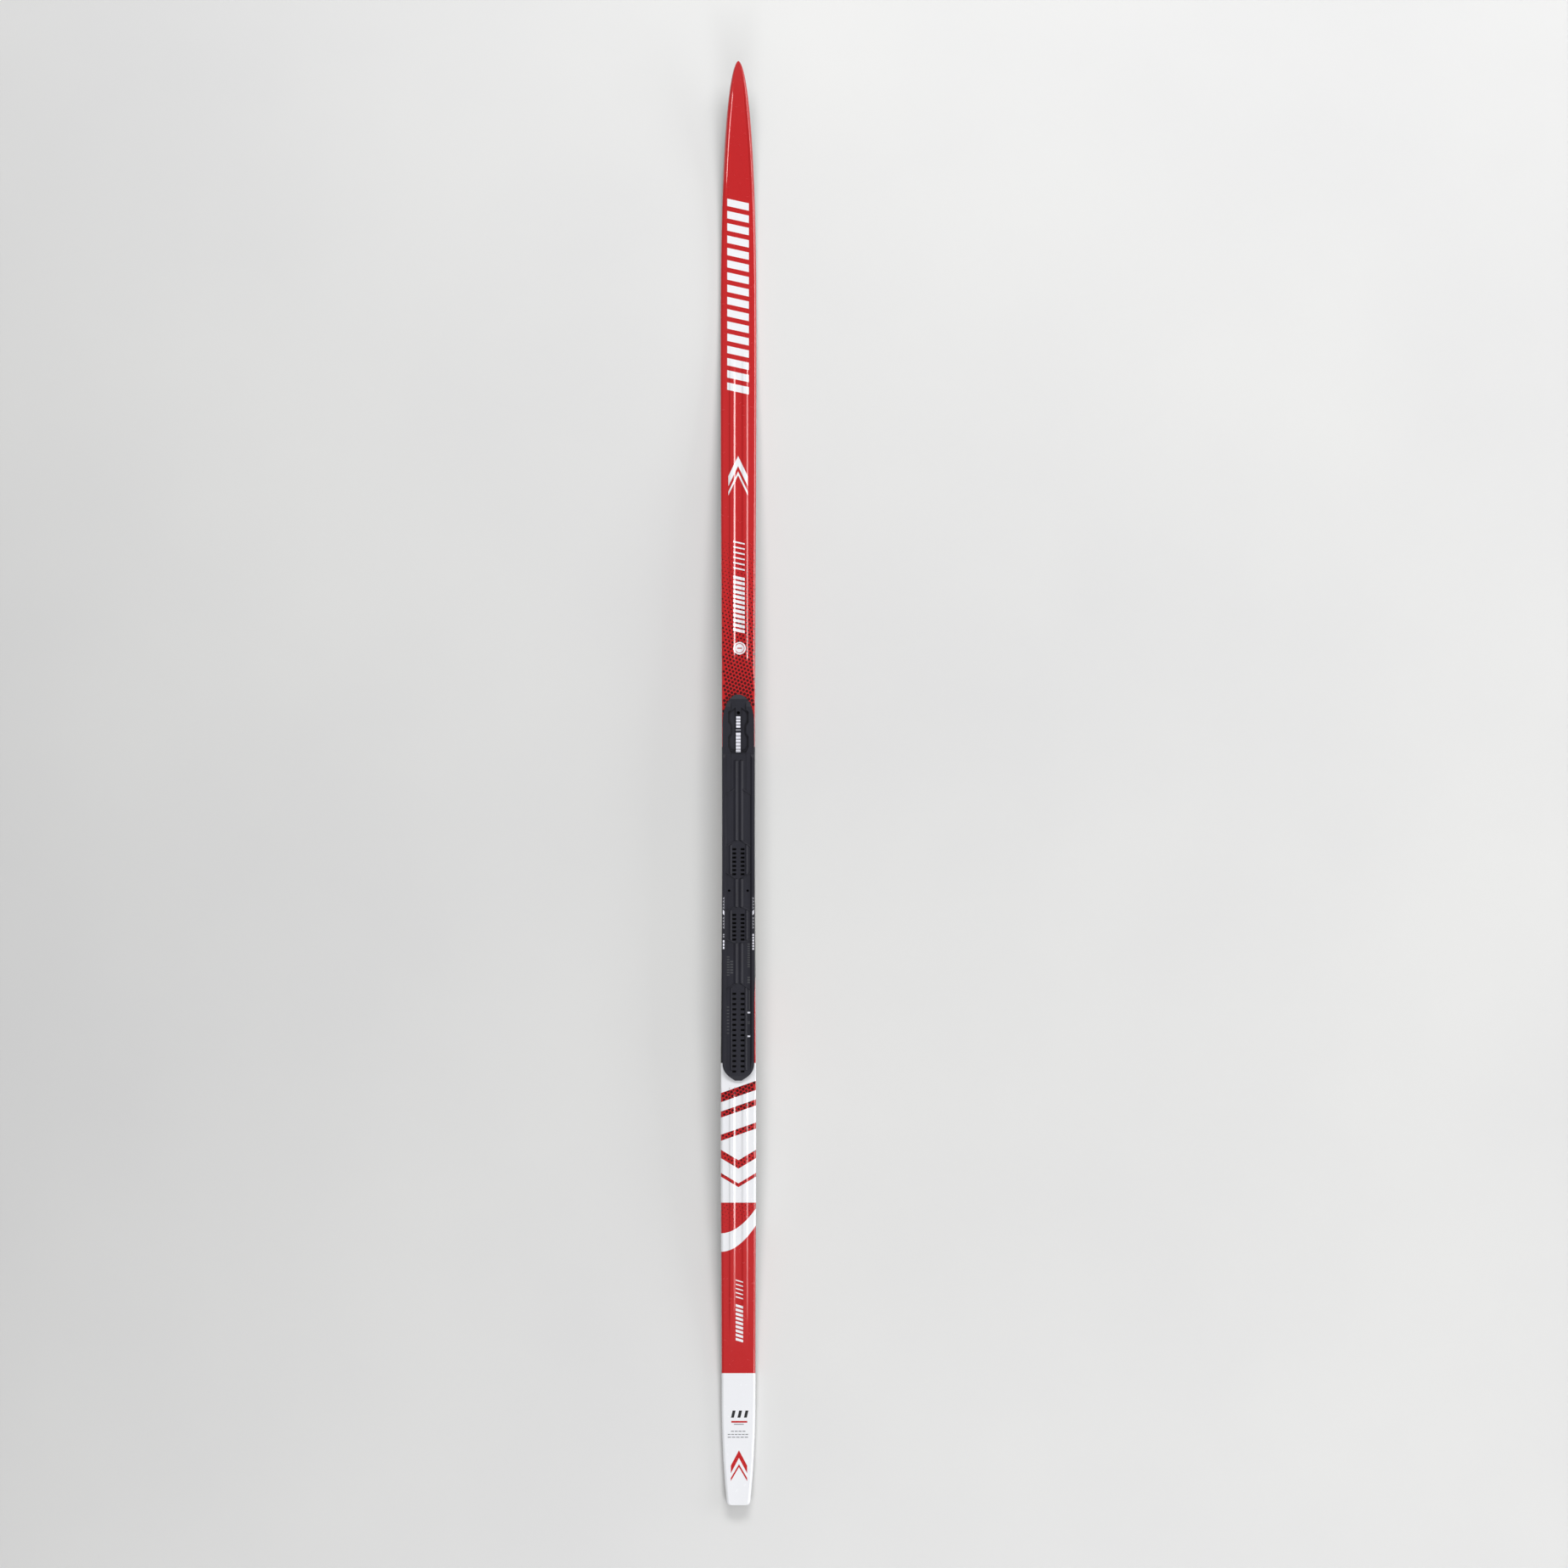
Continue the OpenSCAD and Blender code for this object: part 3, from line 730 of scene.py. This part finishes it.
def moulded_plastic(name, colour, painted_shade_reach=0.0):
    """Glass-filled plastic with a fine spark-eroded grain and faint flow marks.

    The last argument is how far, in metres, painted shade (darkening by ambient occlusion) reaches out from
    the inner corners.
    """
    s = Surface(name, Specular_IOR_Level=0.2)
    flow = s.noise(45, 5, 0.6, s.stretched(1, 0.3, 1))
    tone = s.shades(flow, (0.3, tinted(colour, 0.88)), (0.7, tinted(colour, 1.15)))
    if painted_shade_reach:
        # Painted shade: the colour darkens to nearly black where ambient occlusion finds inner corners,
        # pockets and recesses.
        crease_occlusion = s.add("ShaderNodeAmbientOcclusion", Distance=painted_shade_reach)
        crease_occlusion.only_local = True
        unshaded_share = s.remap(crease_occlusion.outputs["AO"], 0.5, 0.95, 0, 1)
        tone = s.over(tinted(colour, 0.12), tone, unshaded_share)
    s.drive("Base Color", tone)
    grain = s.noise(2600, 3, 0.65)
    s.drive("Roughness", s.remap(grain, 0.3, 0.7, 0.46, 0.62))
    s.drive("Normal", s.bump(grain, 0.00005, 0.5))
    return s.material


def running_base(name, colour):
    """Sintered polyethylene with a stone-ground structure of fine lines along the ski."""
    s = Surface(name, Specular_IOR_Level=0.4)
    cloud = s.noise(60, 5, 0.6)
    s.drive("Base Color", s.shades(cloud, (0.3, tinted(colour, 0.8)), (0.7, tinted(colour, 1.35))))
    lines = s.noise(1, 3, 0.6, s.stretched(1900, 22, 60))
    s.drive("Roughness", s.remap(lines, 0.3, 0.7, 0.28, 0.5))
    s.drive("Normal", s.bump(lines, 0.00006, 0.8))
    return s.material


def woven_fibre(name, warp, weft, pitch, gloss=0.35):
    """Plain weave in resin: two sets of yarns that pass over and under each other."""
    s = Surface(name, Roughness=gloss, Coat_Weight=0.4)
    checks = s.add("ShaderNodeTexChecker", {"Vector": s.object_space}, Scale=1 / (pitch * MM))
    checks.inputs["Color1"].default_value = (*warp, 1)
    checks.inputs["Color2"].default_value = (*weft, 1)
    s.drive("Base Color", checks.outputs["Color"])
    strands = s.maths("ADD", s.noise(1, 2, 0.6, s.stretched(3000, 300, 300)), checks.outputs["Fac"])
    s.drive("Normal", s.bump(strands, 0.00005, 0.6))
    return s.material


def timber(name, pale, dark):
    """Wood with its grain along the ski."""
    s = Surface(name)
    grain = s.noise(1, 6, 0.6, s.stretched(420, 9, 420))
    pores = s.noise(1, 3, 0.7, s.stretched(2400, 60, 2400))
    s.drive("Base Color", s.shades(grain, (0.3, dark), (0.5, pale), (0.72, tinted(pale, 1.15))))
    s.drive("Roughness", s.remap(pores, 0.3, 0.7, 0.55, 0.8))
    s.drive("Normal", s.bump(pores, 0.00008, 0.6))
    return s.material


def mohair(name, root, tip):
    """Short hairs that all lie towards the tail."""
    s = Surface(name, Roughness=0.7, Sheen_Weight=0.6, Sheen_Roughness=0.4)
    hairs = s.noise(1, 4, 0.7, s.stretched(5200, 520, 900))
    tufts = s.noise(420, 3, 0.6)
    depth = s.maths("MULTIPLY", s.maths("ADD", hairs, tufts), 0.5)
    s.drive("Base Color", s.shades(depth, (0.35, root), (0.65, tip)))
    s.drive("Normal", s.bump(hairs, 0.0002, 0.9))
    return s.material


def film(name, colour):
    """A set film of glue, slightly uneven."""
    s = Surface(name, Roughness=0.38)
    cloud = s.noise(220, 4, 0.6)
    s.drive("Base Color", s.shades(cloud, (0.3, tinted(colour, 0.85)), (0.7, tinted(colour, 1.1))))
    s.drive("Normal", s.bump(cloud, 0.00005, 0.5))
    return s.material


RED = linear(191, 29, 32)
WHITE = linear(238, 239, 243)
BLACK = linear(24, 24, 27)
DARK_RED = linear(72, 4, 9)
GREY = linear(120, 122, 128)

red_ink = lacquer("red_lacquer", RED)
white_ink = lacquer("white_lacquer", WHITE, 0.01)
black_ink = lacquer("black_lacquer", BLACK, 0.1, 0.42, 0.12)
dark_red_ink = lacquer("dark_red_lacquer", DARK_RED, 0.1)
grey_ink = lacquer("grey_lacquer", GREY, 0.05)
# The plate's plastic gets painted shade up to 4 mm out from its inner corners, darkest in its pockets.
plate_plastic = moulded_plastic("plate_plastic", linear(38, 38, 46), 0.004)
pad_white = moulded_plastic("pad_print_white", linear(222, 222, 232))
pad_grey = moulded_plastic("pad_print_grey", linear(150, 150, 158))
pad_dim = moulded_plastic("pad_print_dim", linear(72, 73, 76))

NODE_MATERIALS = {
    "base_sheet": running_base("running_base", linear(30, 30, 33)),
    "skin_pile": mohair("mohair", linear(96, 88, 84), linear(176, 168, 160)),
    "skin_backing": woven_fibre("skin_cloth", linear(52, 52, 58), linear(72, 72, 80), 0.5, 0.8),
    "skin_adhesive": film("skin_glue", linear(216, 208, 180)),
    "plate_adhesive": film("plate_glue", linear(200, 196, 176)),
    "upper_laminate": woven_fibre("carbon_fibre", linear(30, 31, 34), linear(52, 54, 60), 1.6),
    "lower_laminate": woven_fibre("glass_fibre", linear(60, 66, 62), linear(84, 92, 84), 1.2),
    "binding_reinforcement": woven_fibre(
        "dense_glass_fibre", linear(112, 124, 86), linear(132, 144, 104), 1.0
    ),
    "tip_filler": moulded_plastic("filler_plastic", linear(70, 72, 78)),
    "core_centre": timber("light_wood", linear(222, 190, 142), linear(190, 152, 104)),
    "edge_strip_left": timber("dense_wood", linear(150, 98, 58), linear(104, 64, 38)),
    "binding_plate": plate_plastic,
}
SAME_MATERIAL = {
    "tail_filler": "tip_filler",
    "core_left": "core_centre",
    "core_right": "core_centre",
    "edge_strip_right": "edge_strip_left",
}


def dress_cad_nodes():
    """Gives every CAD node its material."""
    for name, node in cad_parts.items():
        if name == "topsheet":
            continue
        material = NODE_MATERIALS[SAME_MATERIAL.get(name, name)]
        for slot in node.material_slots:
            slot.link = "OBJECT"
            slot.material = material


# ---- Pieces ----


def soften_plate():
    """Rounds the moulded plate's edges by a hair, so that they catch the light."""
    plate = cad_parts["binding_plate"]
    weld = plate.modifiers.new("weld", "WELD")
    weld.merge_threshold = 0.000005
    bevel = plate.modifiers.new("moulded_edges", "BEVEL")
    bevel.width = 0.00018
    bevel.segments = 2
    bevel.limit_method = "ANGLE"
    bevel.angle_limit = math.radians(25)
    bevel.harden_normals = True


def make_topsheet():
    topsheet_part("topsheet_front", BLACK_FRONT, TIP_Y, red_ink)
    topsheet_part("topsheet_middle", BLACK_REAR, BLACK_FRONT, black_ink)
    topsheet_part("topsheet_rear", TAIL_ZONE_Y, BLACK_REAR, red_ink)
    topsheet_part("topsheet_tail", TAIL_Y, TAIL_ZONE_Y, white_ink)
    topsheet_end("topsheet_tip_end", TIP_Y, -1, red_ink)
    topsheet_end("topsheet_tail_end", TAIL_Y, 1, white_ink)


def make_front_prints():
    block = bars(left=-14.6, right=13.4, front=TIP_Y - 176, rear=TIP_Y - 430, count=16, share=0.6)
    print_on_cap("print_front_bars", block, white_ink)
    arrow_x, arrow_tip = -0.5, TIP_Y - 510
    arrow = [
        chevron(arrow_x, arrow_tip, half=12.5, depth=26, width=13),
        chevron(arrow_x, arrow_tip - 20, half=12.5, depth=26, width=5),
    ]
    print_on_cap("print_front_chevrons", arrow, white_ink)
    small_left, small_right = -6.7, 8.1
    small = bars(small_left, small_right, front=270, rear=195, count=12, share=0.62)
    small += bars(small_left, small_right, front=315, rear=276, count=6, share=0.28)
    print_on_cap("print_small_bars", small, white_ink, layer=2)
    badge_x, badge_y, badge_r = 1.5, PLATE_FRONT + 59.7, 8.1
    print_on_cap("print_badge", [disc(badge_x, badge_y, badge_r)], white_ink, layer=2)
    marks = ring(badge_x, badge_y, 6, width=0.8)
    marks.append(bar(badge_x - 3, badge_x + 3, badge_y, width=1.4, slant=0))
    print_on_cap("print_badge_ring", marks, red_ink, layer=3)
    fade_len = 200
    fade_front = PLATE_FRONT + fade_len
    shape = dots(BLACK_FRONT + 6, fade_front, lambda y: mix(0.45, 2.05, (fade_front - y) / fade_len))
    print_on_cap("print_front_dots", shape, dark_red_ink)


def make_rear_prints():
    fade_len = 195
    fade_rear = GRAPHIC_REAR + 26
    shape = dots(fade_rear, BLACK_REAR - 3, lambda y: mix(0.4, 2.2, (y - fade_rear) / fade_len))
    print_on_cap("print_rear_dots", shape, dark_red_ink)
    fields = [
        between(round_the_plate(), slanted(PLATE_REAR - 8)),
        between(slanted(-404), slanted(-416)),
        between(slanted(-424), slanted(-446)),
        between(slanted(-454), pointed(-487)),
        between(pointed(-498), pointed(-517)),
        between(pointed(-522), level(-542)),
        between(swept(-582, -549), swept(GRAPHIC_REAR, -571)),
    ]
    print_on_cap("print_rear_fields", fields, white_ink, layer=2)
    edge = PLATE_HALF - 0.7
    wedge_front, wedge_full = -250, -300
    wedge = [
        (edge + 2, wedge_front), (EDGE, wedge_front),
        (EDGE, BLACK_REAR), (edge, BLACK_REAR), (edge, wedge_full),
    ]
    print_on_cap("print_side_wedge", [wedge], red_ink)
    small_left, small_right, small_slant = -3.6, 6, 0.3
    small = bars(small_left, small_right, -674, -724, count=9, share=0.6, slant=small_slant)
    small += bars(small_left, small_right, -642, -668, count=5, share=0.28, slant=small_slant)
    print_on_cap("print_rear_small_bars", small, white_ink)


def make_tail_prints():
    slash_front, slash_len, slash_w = TAIL_Y + 122.5, 9.3, 3.8
    slashes = [
        slash(x, x + slash_w, slash_front, slash_front - slash_len, lean=2.2)
        for x in (-9.8, -1.4, 6.9)
    ]
    print_on_cap("print_tail_slashes", slashes, black_ink)
    rows = [bar(-5.9, 6.9, -830.4, width=1.0, slant=0)]
    share = 0.78
    for left, right, y, count in ((-9.8, 10, -839.5, 4), (-14, 13.5, -843.5, 6), (-14, 13.5, -847.2, 5)):
        pitch = (right - left) / count
        rows += [
            bar(left + i * pitch, left + (i + share) * pitch, y, width=1.1, slant=0)
            for i in range(count)
        ]
    print_on_cap("print_tail_dashes", rows, grey_ink)
    arrow_x, arrow_tip, arrow_half = 0.6, TAIL_Y + 71, 10.6
    marks = [
        bar(-9.4, 11.4, -827.2, width=2.3, slant=0),
        chevron(arrow_x, arrow_tip, arrow_half, depth=20, width=10),
        chevron(arrow_x, arrow_tip - 18, arrow_half, depth=18, width=4),
    ]
    print_on_cap("print_tail_marks", marks, red_ink)


def zigzag(inner, outer, front, rear, count=4):
    """A fine zigzag on one of the plate's rims, with count points on its outer side."""
    points = [
        (outer if i % 2 else inner, mix(front, rear, i / (2 * count)))
        for i in range(2 * count + 1)
    ]
    return stroke(points, 1.1)


def make_plate_prints():
    nose = dashes(-2.9, 2.5, front=87.5, rear=73, count=4, share=0.72)
    nose += dashes(-3.2, 2.8, front=66.3, rear=41, count=6, share=0.8)
    print_on_plate("print_nose_bars", nose, pad_white, height=NOSE_H)
    nose_line = bar(-3.4, 3, 69.9, width=1.4, slant=0)
    print_on_plate("print_nose_line", [nose_line], pad_grey, height=NOSE_H)
    bright = []
    pale = []
    for side in (-1, 1):
        inner = side * 16.4
        outer = side * 20.1
        bright.append([(outer, -162.6), (inner, -166), (inner, -171.6), (outer, -168)])
        pale += zigzag(inner, outer, front=-146, rear=-162)
        pale += zigzag(inner, outer, front=-171.5, rear=-187.5)
    bright += dashes(16.2, 20.1, front=-194, rear=-214.5, count=6, share=0.7)
    bright += dashes(-20.1, -16.2, front=-202, rear=-213.5, count=3, share=0.74)
    pale += dashes(-20.1, -16.6, front=-194, rear=-198.5, count=2, share=0.6)
    bright += [bar(11.8, 15.2, y, width=1.9, slant=0) for y in (-295.8, -326.4)]
    print_on_plate("print_rim_bright", bright, pad_white)
    print_on_plate("print_rim_zigzags", pale, pad_grey)
    print_deck_dashes()


def print_deck_dashes():
    """Dim rows of dashes on the plate's deck, and one thin line along it."""
    dim = dashes(11.8, 14.8, front=-206.5, rear=-237, count=11, share=0.5)
    dim += dashes(11.8, 14.8, front=-249.5, rear=-257.5, count=3, share=0.6)
    dim += dashes(-15, -11.6, front=-223, rear=-248, count=8, share=0.45)
    dim += dashes(-10.6, -6.8, front=-229, rear=-245, count=5, share=0.45)
    dim += dashes(-15, -12, front=-288, rear=-323, count=9, share=0.3)
    dim += dashes(11.8, 15, front=-307.3, rear=-310.3, count=2, share=0.5)
    dim.append([(13.9, -292), (14.5, -292), (14.5, -266), (13.9, -266)])
    print_on_plate("print_deck_dashes", dim, pad_dim)


dress_cad_nodes()
soften_plate()
make_topsheet()
make_front_prints()
make_rear_prints()
make_tail_prints()
make_plate_prints()


# ---- Floor, light and camera ----


def make_floor():
    s = Surface("floor_paint", Roughness=0.7)
    cloud = s.noise(1.5, 4)
    s.drive("Base Color", s.shades(cloud, (0.3, linear(214, 214, 214)), (0.7, linear(220, 220, 219))))
    s.drive("Normal", s.bump(s.noise(90, 3), 0.0002, 0.3))
    mesh = bpy.data.meshes.new("floor")
    half, z = 20, -0.0005
    corners = [(-half, -half, z), (half, -half, z), (half, half, z), (-half, half, z)]
    mesh.from_pydata(corners, [], [(0, 1, 2, 3)])
    mesh.materials.append(s.material)
    floor = bpy.data.objects.new("floor", mesh)
    bpy.context.scene.collection.objects.link(floor)


def softbox(name, place, width, height, power, reflected_only=False):
    """An area light that faces the middle of the ski."""
    light = bpy.data.lights.new(name, "AREA")
    light.shape = "RECTANGLE"
    light.size = width
    light.size_y = height
    light.energy = power
    lamp = bpy.data.objects.new(name, light)
    lamp.location = place
    lamp.rotation_euler = (-Vector(place)).to_track_quat("-Z", "Y").to_euler()
    lamp.visible_diffuse = not reflected_only
    bpy.context.scene.collection.objects.link(lamp)


def make_lights():
    softbox("side_softbox", (2.95, 0, 1.15), 2.6, 1.1, 26)
    softbox("side_reflector", (2.55, 0, 1.95), 2.6, 0.75, 60, reflected_only=True)
    softbox("tip_softbox", (0.3, 2.7, 2.4), 3.0, 1.2, 106)
    softbox("tail_softbox", (0.3, -2.7, 2.4), 3.0, 1.2, 80)
    world = bpy.data.worlds.new("studio")
    bpy.context.scene.world = world
    world.use_nodes = True
    world.node_tree.nodes["Background"].inputs["Color"].default_value = (1, 1, 1, 1)
    world.node_tree.nodes["Background"].inputs["Strength"].default_value = 0.13


def make_camera():
    lens = 300
    frame_width = 2.031
    data = bpy.data.cameras.new("camera")
    data.lens = lens
    data.sensor_width = 36
    camera = bpy.data.objects.new("camera", data)
    camera.location = (0.059, 0, frame_width * lens / data.sensor_width + 0.03)
    data.clip_end = 60
    bpy.context.scene.collection.objects.link(camera)
    bpy.context.scene.camera = camera


make_floor()
make_lights()
make_camera()
bpy.context.scene.view_settings.view_transform = "Standard"
